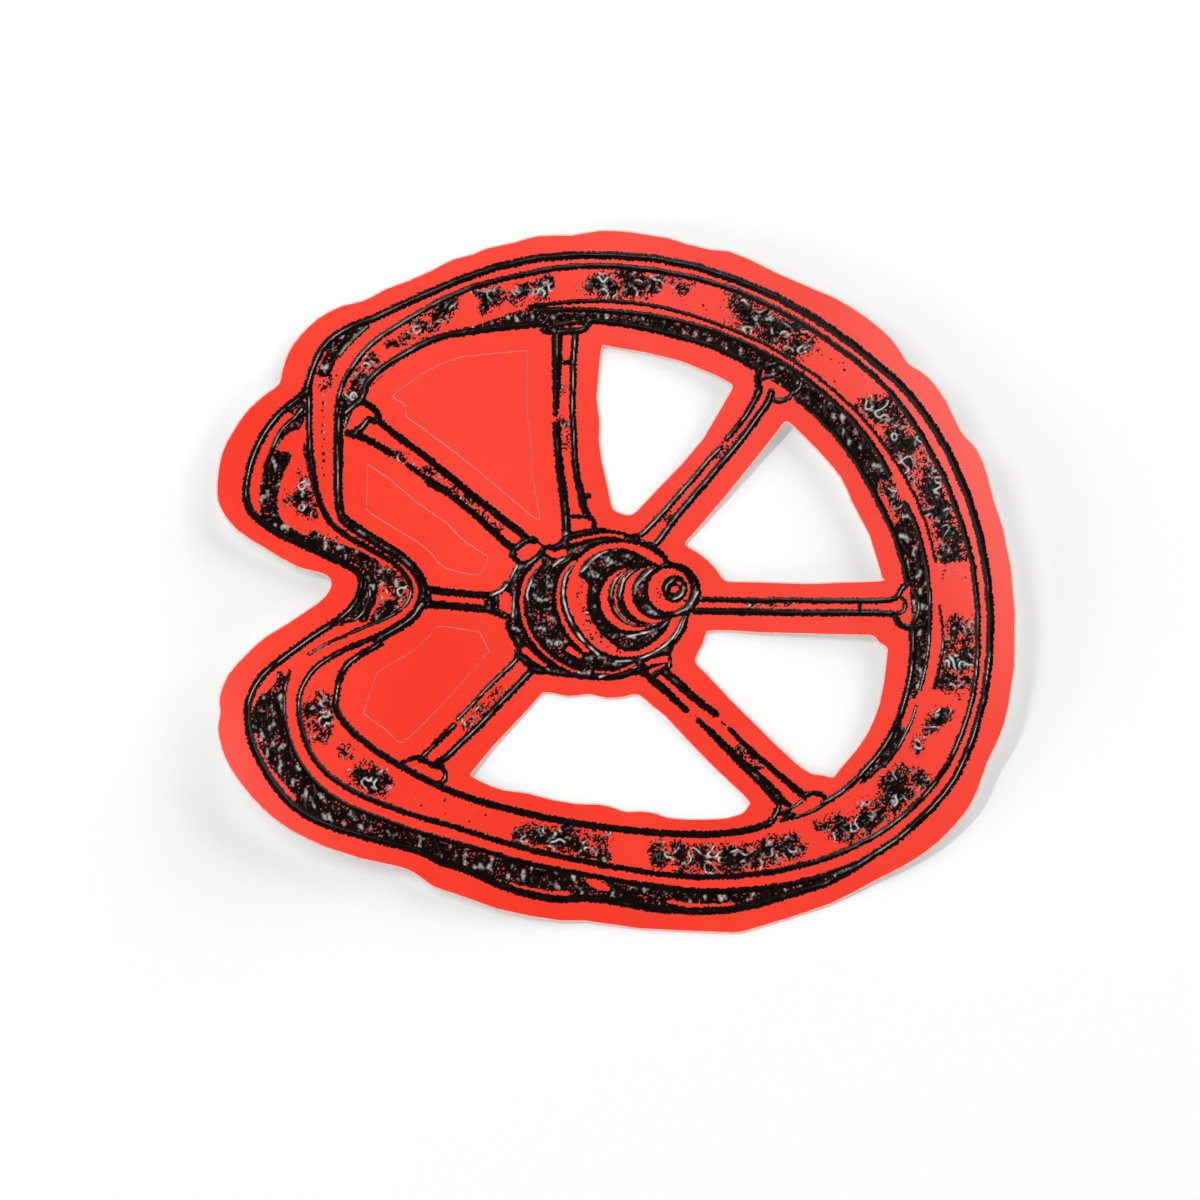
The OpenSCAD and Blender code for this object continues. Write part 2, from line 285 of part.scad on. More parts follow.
// ---- spokes ----
module spoke_lines_2d() {
  // top
  line([[-7.4, 31.6], [-7.4, 28], [-7.45, 24.5]], 1.4, 1.1);
  line([[-7.45, 24.5], [-7.6, 21.3]], 1, 0.7);
  line([[-7.5, 19.9], [-7.3, 17], [-7, 14], [-6.55, 11], [-6.3, 8.5], [-6.2, 6.4]], 1, 1.2);
  line([[-5.1, 31.4], [-5.3, 28.5], [-5.4, 25], [-5.5, 22], [-5.3, 19], [-5.2, 16]], 0.9, 0.8);
  line([[-5.2, 16], [-4.9, 13.5], [-4.5, 11.5], [-4, 9.6], [-3.7, 8.8]], 0.9, 1.1);
  line([[-4, 11], [-3.5, 11]], 0.8);
  line([[-6.6, 27.8], [-5.6, 27.7]], 0.6);
  line([[-5.9, 8.5], [-3.6, 8.4], [-2.9, 8], [-2.7, 7]], 0.5, 0.8);
  line([[-6.1, 6.2], [-4.4, 6.5], [-2.8, 6.8]], 0.5);
  line([[-9.2, 33.2], [-9, 32], [-8, 31.7], [-5, 31.7], [-4, 32], [-3.2, 32.8]], 1.3, 0.8);
  line([[-8.6, 34], [-6, 34.3], [-3.4, 34], [-3.1, 33.2], [-3.8, 32.6], [-5.5, 32.7], [-8, 32.4],
    [-8.5, 33.4]], 0.55);
  // upper right
  line([[17.9, 24.2], [17.2, 22.8], [16.2, 21.1], [14.9, 19.4], [13.8, 18.2]], 0.9, 0.7);
  line([[13, 17], [11.5, 15.5], [9.8, 13.4], [8, 11.4], [6.2, 9.3], [4.6, 7.6], [3, 6.1], [2, 5.9]],
    0.8, 0.8);
  line([[19.4, 24], [19, 22.8], [17.6, 20.8], [16.2, 18.8], [14.5, 16.7], [12.8, 14.7], [11, 12.5],
    [9, 10.2], [7.4, 8.3], [6.2, 6.6], [5, 5.1], [4.2, 4.9]], 1, 0.9);
  line([[18, 26.9], [17.6, 25.6], [17.9, 24.4]], 0.9);
  line([[18.9, 27.3], [20.6, 27.6], [22.2, 26.8], [23.1, 25.6], [22.9, 24.5], [22, 23.8]], 0.6, 0.8);
  line([[18, 25.5], [19.4, 26], [20.9, 25.2], [21.9, 24.1], [21.6, 23.3], [20.6, 22.9],
    [19.9, 23]], 0.55, 0.7);
  // right
  line([[10.4, -1.9], [14, -2], [18, -2.1], [22, -2], [24.5, -2.1], [28, -2.1], [31, -2.15],
    [34.2, -2], [35.2, -1.5], [35.8, -0.5], [36.6, 0.2]], 0.7, 0.8);
  line([[9.8, -3.4], [13, -3.4], [17, -3.5], [21, -3.6], [25, -3.6], [29, -3.6], [32, -3.6],
    [34.5, -3.75]], 0.9, 0.9);
  line([[30.4, -2.4], [30.4, -3.2]], 0.6);
  line([[35.2, -3.7], [36, -3.3], [36.1, -2.2], [35.5, -1.6]], 0.6, 0.5);
  line([[35, -4.2], [35.4, -5], [36.4, -5.4], [37.2, -4.9], [37.8, -3.2], [37.7, -1.6], [37.1, -0.7]],
    0.9, 0.45);
  line([[36.8, -5.4], [38.2, -5.2], [39.2, -4.6]], 0.9);
  // lower right
  line([[6, -10.9], [7.6, -12.3], [9.2, -13.8], [10.8, -15.1], [12.5, -16.3]], 1.2, 0.9);
  line([[14.2, -18.2], [16, -20], [17.6, -21.5], [19.2, -22.9], [20.8, -24.3], [22.2, -25.5],
    [23.3, -26.4]], 0.6, 1);
  line([[4.4, -11.9], [6, -13.2], [7.4, -14.5], [8.7, -15.8]], 1.1, 0.8);
  line([[10.3, -17.1], [12, -18.7], [13.6, -20.3], [15.2, -21.9], [17, -23.6], [18.7, -25.2],
    [20.2, -26.8]], 0.7, 1.6);
  line([[19.2, -25.6], [20.2, -26.6], [21.6, -27.7]], 1.4, 0.7);
  line([[20.2, -26.8], [20.3, -27.9], [19.9, -29], [19, -30]], 0.9);
  line([[20.4, -28.7], [22, -28.1], [23.4, -27], [24.4, -26.3], [25.7, -26.5], [26.4, -27.1],
    [25.6, -27.9], [24, -28.7], [22.6, -29.2], [20.6, -29.6]], 0.5, 0.5);
  line([[23.2, -26.5], [24.6, -26.2], [25.6, -26.4]], 0.7);
  oval(21.6, -28.9, 0.9, 0.35, 10);
  // lower left
  line([[-12.3, -8.6], [-12.4, -9.4], [-13.4, -10.4], [-15, -11.9], [-16.6, -13.5], [-18.2, -15.3],
    [-19.8, -16.9]], 0.9, 0.6);
  line([[-20.3, -17.7], [-21.6, -19], [-23, -20.4], [-24.3, -21.6], [-25.6, -21.9], [-26.7, -22.4]],
    0.8, 0.6);
  line([[-10.3, -10.5], [-11.1, -11.4], [-12.6, -13], [-14.2, -14.6], [-15.6, -16.1], [-17.2, -17.8],
    [-18.8, -19.3], [-20.4, -20.9], [-21.8, -22.1], [-23, -22.7]], 1, 0.9);
  line([[-21.9, -22.8], [-21.4, -23.6], [-21.5, -24.5], [-22.4, -25]], 0.7);
  line([[-24.6, -21.9], [-23.4, -22.4], [-22.4, -22.9]], 0.8);
  // left
  line([[-23.9, -0.6], [-22, -0.9], [-20, -1.1], [-17.6, -1.35], [-15.6, -1.4], [-14.4, -0.8],
    [-13.8, 0]], 1, 0.8);
  line([[-24.2, -2.6], [-22, -2.6], [-20, -2.8], [-18, -3], [-16, -3.2], [-14.6, -3.7], [-13.4, -4.2]],
    1.1, 0.9);
  line([[-23.6, -1.2], [-23.4, -2.2]], 1);
  oval(-15.7, -2.4, 0.9, 0.75, 0);
  // upper left
  line([[-29.6, 20.4], [-28, 19], [-26, 17.5], [-24, 16.1], [-22, 14.4], [-20, 12.8], [-18, 11.1],
    [-16, 9.6], [-14, 8], [-12.4, 6.8], [-11.4, 5.9]], 0.9, 1);
  line([[-33.6, 18.9], [-32, 18.5], [-30.4, 17.7], [-28.2, 16.4]], 1, 0.9);
  line([[-26.1, 15], [-24.8, 14], [-23.4, 13], [-21.8, 11.9], [-20, 10.6], [-18.4, 9.3],
    [-16.8, 7.9], [-15.2, 6.4], [-14, 5.3], [-12.9, 4.5]], 0.6, 1);
  line([[-23.4, 12.9], [-22.2, 12.1], [-21, 11.6]], 1.2, 0.9);
  line([[-34, 20.6], [-33, 22.2], [-31.8, 22.8], [-30.6, 22.2], [-29.8, 21.3], [-30, 20.4],
    [-31, 20.6], [-31.8, 19.6], [-32.6, 19.2]], 0.9, 0.9);
  line([[-34.3, 22.8], [-33.8, 21.4], [-34.2, 20]], 1.2);
}

// ---- hub ----
module hub_lines_2d() {
  difference() {
    union() {
      // body outline and lobes that take the spoke ends
      patch([[-9.2, 5], [-7.4, 5.2], [-6.1, 6.4], [-2.6, 7], [0, 6.7], [2.4, 6], [4.6, 4.9],
        [6, 4], [6.9, 2.8], [8.8, 2.3], [10.2, 0.7], [10.6, -0.8], [10.2, -2.6], [9.1, -4],
        [8.8, -5.6], [7.6, -7.5], [6.9, -8.6], [7, -10.4], [5.9, -11.2], [4.2, -11.9], [2.6, -11.4],
        [0.6, -11.9], [-1.2, -12.1], [-4.6, -11.9], [-8.6, -11.4], [-10.4, -11.1], [-12.2, -9.4],
        [-12.6, -7.9], [-13.6, -6.1], [-13.9, -4.9], [-13.4, -4], [-14.8, -3.6], [-14.9, -1.2],
        [-13.8, -0.4], [-13.2, 1.2], [-12.6, 2.6], [-13.4, 3.4], [-13.1, 4.4], [-11.8, 5.6],
        [-10.2, 6]]);
    }
    // bare red parts, from the left flange to the nose
    patch([[-12.4, 3.9], [-11.4, 4.8], [-9.8, 5.1], [-9.5, 4.4], [-11.2, 3], [-12.1, 3.1]]);
    patch([[-14.5, -1.3], [-13.3, -1.2], [-13.1, -3.7], [-14.4, -3.5]]);
    patch([[-5.8, 8.1], [-5.8, 6.6], [-3.6, 7.1], [-3.4, 8]]);
    line([[-9.6, 2.6], [-10.9, 1.2], [-11.7, -1], [-11.8, -3], [-11.3, -5.2], [-10.2, -7.2],
      [-8.6, -8.9], [-6.8, -10.2], [-5, -11]], 0.6, 0.3);
    line([[-8.6, 4.1], [-7.6, 3.6], [-6.6, 3.9]], 0.5, 1);
    line([[-5.6, 5.3], [-4, 5.7], [-2, 6.1], [0, 6.1], [1, 5.8]], 0.4, 0.3);
    line([[-11.4, -8.3], [-10.2, -9.3], [-8.9, -10.3]], 0.9, 0.4);
    line([[-5.2, 2.8], [-6.5, 1.6], [-7.2, -0.5], [-7.2, -2.6], [-6.5, -4.8], [-5.3, -6.8],
      [-3.7, -8.4]], 0.4, 0.55);
    line([[-5.9, -8.2], [-5.2, -8.6], [-4.5, -9]], 0.8, 0.4);
    line([[-2.6, -11], [-0.6, -11.1], [0.8, -10.8], [2.2, -10.1]], 0.3, 0.35);
    line([[3.8, -9.9], [5, -9.6], [6.1, -9.4]], 0.5, 0.9);
    line([[4.3, -10.9], [5.4, -10.5], [6.2, -10.1]], 0.5, 0.3);
    // wide red ring round the stepped nose
    difference() {
      patch([[-6.2, -0.8], [-5.6, 1.6], [-4.2, 3.6], [-2.2, 4.8], [0.2, 5.2], [2.6, 4.9], [4.8, 3.9],
        [6, 2.7], [5.6, 2.4], [6.6, 1.7], [8.4, -3.4], [7.9, -4.6], [7.2, -6.1], [5.4, -7.8],
        [3.2, -8.9], [0.8, -9.1], [-1.6, -8.5], [-3.6, -6.9], [-5.2, -4.6], [-6, -2.6]]);
      patch([[-4.7, 1.2], [-3.8, 2.9], [-2.2, 4], [0, 4.5], [2, 4.2], [3.8, 3.2], [5.4, 2.4],
        [7.6, 2.4], [9.6, 1], [9.9, -1.6], [8.6, -3.8], [7, -4.3], [6.2, -5.9], [4.4, -7.5],
        [2.6, -8.4], [0.8, -8.3], [-0.8, -7.2], [-2.3, -5.8], [-3.4, -3.8], [-3.7, -1.8],
        [-3.5, 0]]);
    }
    // red steps of the nose
    difference() {
      oval(2.1, -1.9, 4.1, 4, 0);
      oval(3, -1.6, 4.05, 3.85, 0);
    }
    difference() {
      oval(3.05, -1.55, 3.35, 3.6, 0);
      oval(3.3, -1.5, 3.3, 3.6, 0);
    }
    difference() {
      oval(4.5, -1.35, 3.55, 3.55, 0);
      oval(5.35, -1.1, 3.45, 3.4, 0);
    }
    difference() {
      oval(6.6, -0.75, 2.65, 2.7, 0);
      oval(7.3, -0.6, 1.65, 1.75, 0);
    }
    oval(7.3, -0.7, 0.55, 0.4, 30);
    oval(7.9, 0.1, 0.3, 0.2, 0);
  }
}

// ---- fields as they are printed ----
module rim_lines() offset(delta = ink_gain) placed() rim_lines_2d();
module spoke_lines() offset(delta = ink_gain) placed() spoke_lines_2d();
module hub_lines() offset(delta = ink_gain) placed() hub_lines_2d();
module all_lines() {
  rim_lines();
  spoke_lines();
  hub_lines();
}
module walls() offset(delta = ink_gain) placed() wall_fields();
module slits() placed() bare_slits();
module tidy(s = smallest) offset(delta = s - hair) offset(delta = -s) children();
// the first shape where the second, printed over it, leaves it free
module beside() tidy(ink_gap) difference() {
  tidy() difference() {
    children(0);
    offset(delta = ink_gap) children(1);
  }
  children(1);
}
module print_rim() tidy() rim_lines();
module print_hub() beside() {
  hub_lines();
  rim_lines();
}
module print_spokes() beside() {
  spoke_lines();
  union() {
    rim_lines();
    hub_lines();
  }
}
module print_shade() beside() {
  difference() {
    walls();
    slits();
  }
  all_lines();
}
module print_grime() beside() {
  offset(delta = ink_gain) placed() grime_fields();
  union() {
    all_lines();
    walls();
  }
}

// ---- cut shapes ----
module outline() offset(delta = border_width - drawn_border) placed() polygon(die_points);
module shifted() offset(delta = drawn_margin - window_margin) placed() children();
module windows() shifted() {
  // between the top and upper right spokes
  patch([[-1.7, 29.4], [-1.3, 29.7], [0.5, 29.4], [4, 28.8], [8, 27.8], [12, 26.2], [14.1, 25.1],
    [14.4, 24.7], [14.1, 24], [12.5, 21.2], [10.8, 18.3], [8.3, 15.3], [5.5, 12.4], [3.4, 10.2],
    [2.2, 9], [1.2, 8.8], [-0.1, 9.3], [-0.5, 10], [-1, 12.5], [-1.7, 15.5], [-2, 18],
    [-1.95, 20.5], [-2.3, 23.2], [-2.1, 26]]);
  // above the right spoke
  patch([[21.3, 20.2], [22.2, 19.6], [25, 16.8], [28, 13.3], [29.4, 10.2], [31.6, 6], [32.3, 3.6],
    [33.1, 0.9], [33, 0.5], [29, 0.35], [24, 0.15], [18, 0.35], [14.6, 0.4], [13.5, 0.7],
    [12.7, 1.8], [11.5, 3.1], [10, 4.2], [9, 4.8], [8.9, 5.3], [10, 6.5], [14, 11.2],
    [17.3, 15.3], [20, 18.7], [20.9, 19.9]]);
  // below the right spoke
  patch([[11.7, -6], [14, -5.95], [18, -6.2], [24, -6.35], [30, -6.5], [32, -6.6], [32.8, -7.4],
    [33.7, -8], [33.75, -9], [33.4, -12], [32.8, -15], [31.5, -18.3], [30, -20.6], [28, -23],
    [27.3, -23.9], [26.8, -24.1], [25.8, -23.8], [24.4, -23.6], [22.5, -22.3], [20, -20],
    [14, -14], [11.5, -11.3], [10.2, -10], [10.1, -9.2], [10.9, -7.6], [11.3, -6.4]]);
  // between the two bottom spokes
  patch([[-9, -13.75], [-8, -13.8], [-5.9, -14.2], [-3.8, -13.95], [-3, -14], [-1.2, -14.4],
    [0.8, -14.3], [2.3, -13.95], [3.2, -14.3], [4.5, -15.4], [6, -16.6], [9, -19.8], [12, -22.9],
    [15.4, -26.1], [16.5, -27.3], [16.4, -27.8], [15.5, -28.7], [13, -29.3], [9, -29.35],
    [6.3, -29.1], [4.9, -28.6], [3, -28.35], [1.2, -28.4], [-0.3, -27.9], [-2, -27.5], [-5, -27.4],
    [-8, -26.9], [-11, -26.1], [-14, -25.7], [-16, -25], [-17.8, -24.1], [-17.95, -23.7],
    [-17, -22.5], [-15.2, -20.3], [-13, -18], [-10.5, -15.3], [-9.4, -14]]);
}
module cut_top_left() patch([[-11.1, 28.9], [-11.5, 29.3], [-14, 29.1], [-19, 28.6], [-21, 28],
  [-24, 26.6], [-26.5, 24.9], [-27.9, 23.7], [-27.8, 23.3], [-26.6, 22.4], [-26.2, 20.9],
  [-24, 19.3], [-20, 16.3], [-17, 13.9], [-13.5, 10.9], [-11, 8.8], [-9.8, 8], [-9.5, 8.2],
  [-9.9, 10.5], [-10.5, 14], [-10.7, 18], [-11.1, 21.5], [-11.15, 25]]);
module cut_mid_left() patch([[-31.2, 14.8], [-30.9, 15], [-28, 13], [-25.1, 10.5], [-23, 9],
  [-21.2, 7.8], [-19.1, 5.6], [-16.3, 3.7], [-16.1, 2.9], [-16.9, 1.3], [-17.8, 1.1], [-19.5, 1.4],
  [-21.8, 2.2], [-23.2, 3.8], [-25.3, 5.5], [-29.5, 8], [-31.2, 9.2], [-31.4, 9.7], [-31.2, 12]]);
module cut_low_left() patch([[-22.2, -5.2], [-20, -5.4], [-17.3, -5.9], [-16.9, -6.2],
  [-15.9, -8.3], [-16.2, -8.9], [-18, -11], [-20.8, -14.2], [-23.5, -17], [-26.2, -19.6],
  [-26.9, -19.9], [-27.5, -19.6], [-29, -18.2], [-31.2, -16.6], [-31.6, -16], [-31.2, -14.5],
  [-30.3, -12], [-29.8, -11], [-28, -9.8], [-25, -8], [-23.2, -6.2]]);
module cuts() shifted() {
  cut_top_left();
  cut_mid_left();
  cut_low_left();
}
module liner_shape() tidy() difference() {
  outline();
  windows();
}
module film_shape() tidy() difference() {
  outline();
  windows();
  cuts();
}
module island() tidy() offset(delta = -kerf_width) shifted() children();

// ---- the bent sheet ----
// Seen along the curl, the sheet is a flat strip with an arc of short straight facets on
// each side; past the end of its arc it runs on straight.
reach = sheet_width + sheet_height;
arc_facets = 12;
arc_span = 32;
film_base = liner_thickness;
ink_base = liner_thickness + film_thickness;
ink_top = ink_base + ink_thickness;
function arc_point(r, t) = [flat_width / 2 + r * sin(t), -r * cos(t)];
function side(r, d) = [for (p = concat(
  [for (i = [0 : arc_facets]) arc_point(r - d, i * arc_span / arc_facets)],
  [arc_point(r - d, arc_span) + reach * [cos(arc_span), sin(arc_span)]])) p + [0, r]];
function mirrored(l) = [for (p = l) [-p[0], p[1]]];
function level(d) = concat(backward(mirrored(side(curl_radius_left, d))), side(curl_radius_right, d));
module layer(a, b) rotate(curl_direction) translate([flat_shift, 0, 0]) rotate([90, 0, 0])
  linear_extrude(height = 2 * reach, center = true) polygon(concat(level(a), backward(level(b))));
module sheet(a, b) intersection() {
  linear_extrude(height = reach) children();
  layer(a, b);
}

// ---- parts ----
module release_liner() color([0.93, 0.92, 0.9]) sheet(0, film_base) liner_shape();
module vinyl_film() color([0.95, 0.26, 0.2]) sheet(film_base, ink_base) film_shape();
module cut_island_top_left() color([0.95, 0.26, 0.2]) sheet(film_base, ink_base) island() cut_top_left();
module cut_island_mid_left() color([0.95, 0.26, 0.2]) sheet(film_base, ink_base) island() cut_mid_left();
module cut_island_low_left() color([0.95, 0.26, 0.2]) sheet(film_base, ink_base) island() cut_low_left();
module ink_rim_lines() color([0.1, 0.08, 0.08]) sheet(ink_base, ink_top) print_rim();
module ink_rim_shade() color([0.16, 0.12, 0.12]) sheet(ink_base, ink_top) print_shade();
module ink_grime() color([0.35, 0.12, 0.1]) sheet(ink_base, ink_top) print_grime();
module ink_spokes() color([0.1, 0.08, 0.08]) sheet(ink_base, ink_top) print_spokes();
module ink_hub() color([0.1, 0.08, 0.08]) sheet(ink_base, ink_top) print_hub();

release_liner();
vinyl_film();
cut_island_top_left();
cut_island_mid_left();
cut_island_low_left();
ink_rim_lines();
ink_rim_shade();
ink_grime();
ink_spokes();
ink_hub();
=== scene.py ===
"""A red die-cut vinyl sticker that curls off a white table, with a raised black ink drawing.

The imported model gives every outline. Its flat-faceted sheet layers are rebuilt here as smooth
bent sheets with eased cut edges, and its flat print fields as ragged, speckled raised ink.
Lengths are in millimetres until a mesh is made, and the mesh is in metres.
"""
import math

import bpy
import numpy as np
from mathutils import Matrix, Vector, geometry


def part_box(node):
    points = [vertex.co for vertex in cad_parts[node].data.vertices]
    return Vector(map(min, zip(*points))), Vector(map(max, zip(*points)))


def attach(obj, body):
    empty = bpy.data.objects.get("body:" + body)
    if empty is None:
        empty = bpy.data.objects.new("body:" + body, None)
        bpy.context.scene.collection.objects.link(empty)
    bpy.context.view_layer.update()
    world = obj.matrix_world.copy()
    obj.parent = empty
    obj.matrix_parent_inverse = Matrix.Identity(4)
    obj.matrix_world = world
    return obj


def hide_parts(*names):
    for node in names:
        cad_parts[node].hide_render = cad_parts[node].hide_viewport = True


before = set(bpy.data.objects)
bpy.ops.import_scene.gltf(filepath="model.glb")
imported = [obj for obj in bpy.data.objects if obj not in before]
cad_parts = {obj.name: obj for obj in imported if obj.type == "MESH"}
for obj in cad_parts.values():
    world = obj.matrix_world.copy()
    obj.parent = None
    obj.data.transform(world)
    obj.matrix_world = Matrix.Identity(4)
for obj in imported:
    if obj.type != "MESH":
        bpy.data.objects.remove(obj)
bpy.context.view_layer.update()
MM = 0.001

# The bent sheet, as the CAD has it
FLAT_WIDTH = 16.0
FLAT_SHIFT = -5.0
CURL_RADIUS = 120.0
CURL_DIRECTION = math.radians(24.6)
LINER = 0.2
FILM = 0.2
INK = 0.2
FILM_TOP = LINER + FILM
LINER_BEVEL = 0.03
FILM_BEVEL = 0.17
KISS_CLOSING = 0.04     # how far each side of a kiss cut moves into the gap that the CAD leaves
LATTICE = 2.5           # spacing of the points that let a sheet bend
LEAST_STEP = 0.06       # outline points closer than this are left out

# The print is worked out on a grid of this pitch
PITCH = 0.1
SUNK = 0.01             # how far the ink's rim dips into the film
MOST_TRIANGLES = 150000
CELL_TRIANGLES = 2.6    # triangles that a covered grid cell makes, at most
STROKES = ("ink_rim_lines", "ink_spokes", "ink_hub")
WALLS = ("ink_rim_shade",)
GRIME = ("ink_grime",)
PRINT_NODES = STROKES + WALLS + GRIME
# Raised ridges over the hub's wide black parts, each a run of points on the sheet
HUB_RIDGES = (
    ((-12.4, 2.0), (-13.8, -0.9), (-15.5, -1.7)), ((-9.4, 2.7), (-11.2, -1.3), (-11.0, -2.3)),
    ((-12.7, -1.3), (-12.9, -4.3)), ((-9.0, 4.7), (-6.2, 6.0)), ((-7.8, 2.0), (-5.0, 4.1)),
    ((-5.8, 1.9), (-6.6, 0.2), (-6.6, -2.8), (-4.8, -6.8), (-2.2, -9.1)),
    ((-4.3, 1.2), (-2.0, 3.6), (0.0, 4.0)), ((0.2, 0.9), (-0.9, -1.8), (0.5, -4.6), (2.5, -5.6)),
    ((1.2, 1.2), (0.4, -1.8)), ((4.5, 1.5), (2.5, -0.3), (2.4, -1.5)), ((6.5, -4.6), (4.0, -5.6)),
    ((4.8, -6.1), (1.5, -6.9)), ((8.5, -4.3), (7.0, -7.6), (3.0, -9.8), (0.0, -10.0)),
    ((8.6, -0.8), (8.2, -1.8), (7.2, -2.2)), ((10.2, -1.3), (9.2, -3.2), (7.5, -4.0)),
    ((-9.6, -10.2), (-8.4, -11.0)), ((-5.2, -11.0), (-4.2, -11.6)), ((2.5, -10.6), (-2.0, -11.9)),
)
# Loose specks of ink: a box on the sheet as (low x, high x, low y, high y), and how many
LOOSE = ((25, 30, 24.7, 28.7, 9), (40, 44.5, 0.2, 2.7, 12), (-25, -16, -30.3, -26.3, 16),
         (-35, -33, -22.3, -20.3, 8), (10.8, 11.8, 33.8, 34.6, 3), (-28, -26, 15, 16.4, 5),
         (13.2, 13.9, 16.9, 17.7, 4), (9.2, 9.9, -17.1, -16.4, 3), (13.2, 13.9, -17.9, -17.2, 3),
         (-19.9, -19.1, -17.6, -16.9, 4), (-4.9, -3.9, -3.5, 0.3, 14), (-4.5, -3.0, -6.3, -3.5, 22),
         (-3.2, -1.4, -8.0, -6.0, 16), (-1.4, 0.6, -8.9, -7.9, 10), (-27.6, -25.6, 14.6, 16, 8),
         (-20, -18.2, 9.6, 10.9, 9), (8.2, 8.8, -3.4, -2.2, 3), (4.8, 5.6, -2.6, 0.2, 7))
# A run of dots down the rim's left bend: across, first and last height, pitch
DOT_RUN = (-36.6, 23.2, 12.7, 0.9)


# ---- the bent sheet ----
def bend_height(x, y, level):
    """Height over the table of the sheet's layer boundary that lies `level` above its back."""
    along = x * math.cos(CURL_DIRECTION) + y * math.sin(CURL_DIRECTION)
    past = np.maximum(np.abs(along - FLAT_SHIFT) - FLAT_WIDTH / 2, 0)
    return CURL_RADIUS - np.sqrt((CURL_RADIUS - level) ** 2 - past ** 2)


def top_loops(node):
    """Outlines of a CAD node's upper faces, each an array of (x, y) in order round the shape."""
    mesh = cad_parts[node].data
    mesh.calc_loop_triangles()
    count = len(mesh.vertices)
    places = np.zeros(count * 3)
    mesh.vertices.foreach_get("co", places)
    places = np.round(places.reshape(-1, 3) / MM, 4)
    _, first, welded = np.unique(places, axis=0, return_index=True, return_inverse=True)
    welded = welded.reshape(-1)
    places = places[first]
    triangles = np.zeros(len(mesh.loop_triangles) * 3, int)
    mesh.loop_triangles.foreach_get("vertices", triangles)
    triangles = welded[triangles].reshape(-1, 3)
    a, b, c = (places[triangles[:, k]] for k in range(3))
    normals = np.cross(b - a, c - a)
    up = normals[:, 2] > 0.5 * np.linalg.norm(normals, axis=1)
    following = {}
    edges = set()
    for tri in triangles[up]:
        for k in range(3):
            edges.add((tri[k], tri[(k + 1) % 3]))
    for p, q in edges:
        if (q, p) not in edges:
            following.setdefault(p, []).append(q)
    loops = []
    while following:
        start = next(iter(following))
        loop = [start]
        while True:
            nexts = following[loop[-1]]
            step = nexts.pop()
            if not nexts:
                del following[loop[-1]]
            if step == start:
                break
            loop.append(step)
        loops.append(places[loop][:, :2])
    return [loop for loop in loops if len(loop) > 2]


def make_mesh(name, vertices, faces, materials, face_materials=None, sharp=None):
    mesh = bpy.data.meshes.new(name)
    mesh.from_pydata((np.asarray(vertices) * MM).tolist(), [], faces)
    for material in materials:
        mesh.materials.append(material)
    if face_materials is not None:
        mesh.polygons.foreach_set("material_index", face_materials)
    mesh.polygons.foreach_set("use_smooth", [True] * len(mesh.polygons))
    if sharp is not None:
        mesh.set_sharp_from_angle(angle=sharp)
    mesh.update()
    piece = bpy.data.objects.new(name, mesh)
    bpy.context.scene.collection.objects.link(piece)
    return piece


def inset(loop, distance):
    """The loop moved `distance` to its left, which is into the shape."""
    ahead = np.roll(loop, -1, 0) - loop
    behind = loop - np.roll(loop, 1, 0)
    ahead /= np.linalg.norm(ahead, axis=1)[:, None]
    behind /= np.linalg.norm(behind, axis=1)[:, None]
    normal = ahead + behind
    length = np.maximum(np.linalg.norm(normal, axis=1), 0.6)[:, None]
    normal = np.stack([-normal[:, 1], normal[:, 0]], 1) / length
    reach = 1 / np.maximum(np.sum(normal * np.stack([-ahead[:, 1], ahead[:, 0]], 1), 1), 0.6)
    return loop + normal * distance * reach[:, None]


def thinned(loop, least=LEAST_STEP):
    """The loop without points that lie closer than `least` to the one before."""
    kept = [loop[0]]
    for point in loop[1:]:
        if np.linalg.norm(point - kept[-1]) > least:
            kept.append(point)
    if np.linalg.norm(kept[-1] - kept[0]) < least:
        kept.pop()
    return np.array(kept)


def filled(loops, spacing):
    """Points and triangles that fill the loops, with a lattice of points inside."""
    points, edges = [], []
    for loop in loops:
        first = len(points)
        points += [Vector(p) for p in loop]
        edges += [(first + i, first + (i + 1) % len(loop)) for i in range(len(loop))]
    low = np.min([loop.min(0) for loop in loops], 0)
    high = np.max([loop.max(0) for loop in loops], 0)
    xs = np.arange(low[0], high[0], spacing)
    ys = np.arange(low[1], high[1], spacing)
    grid_x, grid_y = np.meshgrid(xs, ys)
    inside, away = inside_and_distance(loops, grid_x, grid_y, spacing * 0.45)
    lattice = (inside & (away > spacing * 0.4))
    points += [Vector(p) for p in zip(grid_x[lattice], grid_y[lattice])]
    out, _, faces, _, _, _ = geometry.delaunay_2d_cdt(points, edges, [], 0, 1e-7)
    out = np.array([(p[0], p[1]) for p in out])
    faces = np.array(faces)
    return out, faces[holds(loops, out[faces].mean(1))].tolist()


def holds(loops, points):
    """Whether each point lies inside the loops, by the even-odd rule."""
    odd = np.zeros(len(points), bool)
    for ax, ay, bx, by in segments_of(loops):
        rows = (ay > points[:, 1]) != (by > points[:, 1])
        cut = ax + (points[rows, 1] - ay) * (bx - ax) / (by - ay)
        odd[np.nonzero(rows)[0][points[rows, 0] < cut]] ^= True
    return odd


